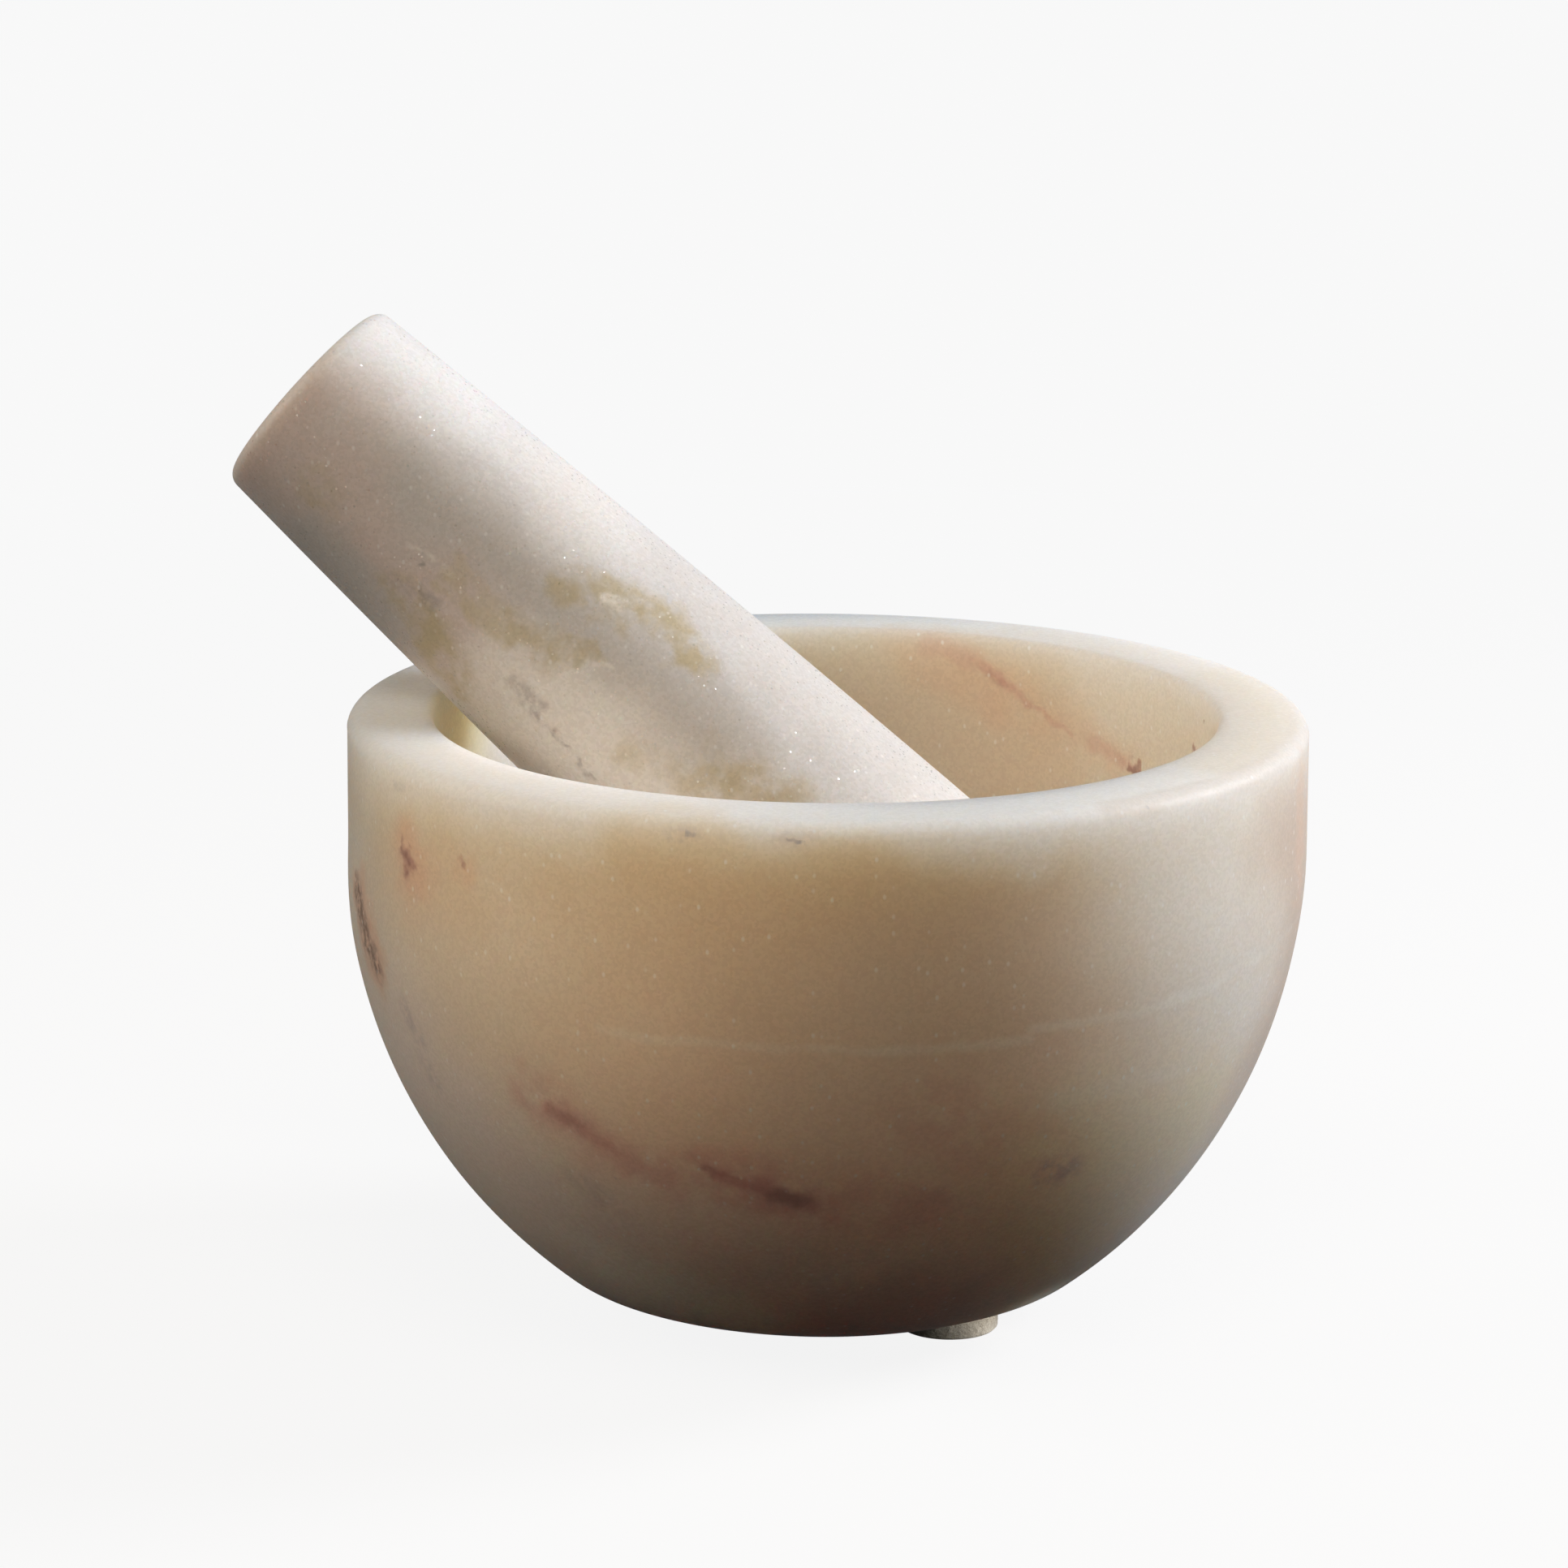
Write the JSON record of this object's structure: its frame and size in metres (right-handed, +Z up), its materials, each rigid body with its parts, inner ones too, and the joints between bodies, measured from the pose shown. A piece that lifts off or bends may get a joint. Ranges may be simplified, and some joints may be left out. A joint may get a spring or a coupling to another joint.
{
  "type": "mortar and pestle",
  "caption": "Turned stone mortar with a straight rim band, round belly and hemispherical hollow on soft glued pads, with a tapered stone pestle leaning in it.",
  "frame": {"origin": "the bowl's axis where it meets the table plane that the pads stand on", "axes": "+Z up along the bowl's axis; +X to the right and -Y towards the viewer, with the pestle leaning towards -X and a little towards +Y"},
  "size_m": [0.1705, 0.152, 0.1555],
  "materials": {
    "mortar_stone": "honed, slightly translucent cream and tan marble with reddish veins",
    "pestle_stone": "honed, pale cream and grey marble with ochre patches",
    "felt": "off-white felt"
  },
  "bodies": {
    "bowl": {"mortar": "mortar_stone", "front_pad": "felt", "rear_pad": "felt", "left_pad": "felt"},
    "grinder": {"pestle": "pestle_stone"}
  },
  "joints": [
    {"name": "pestle_lift", "type": "slide", "parent": "bowl", "child": "grinder", "axis": [0, 0, 1], "range_m": [0, 0.1]}
  ]
}
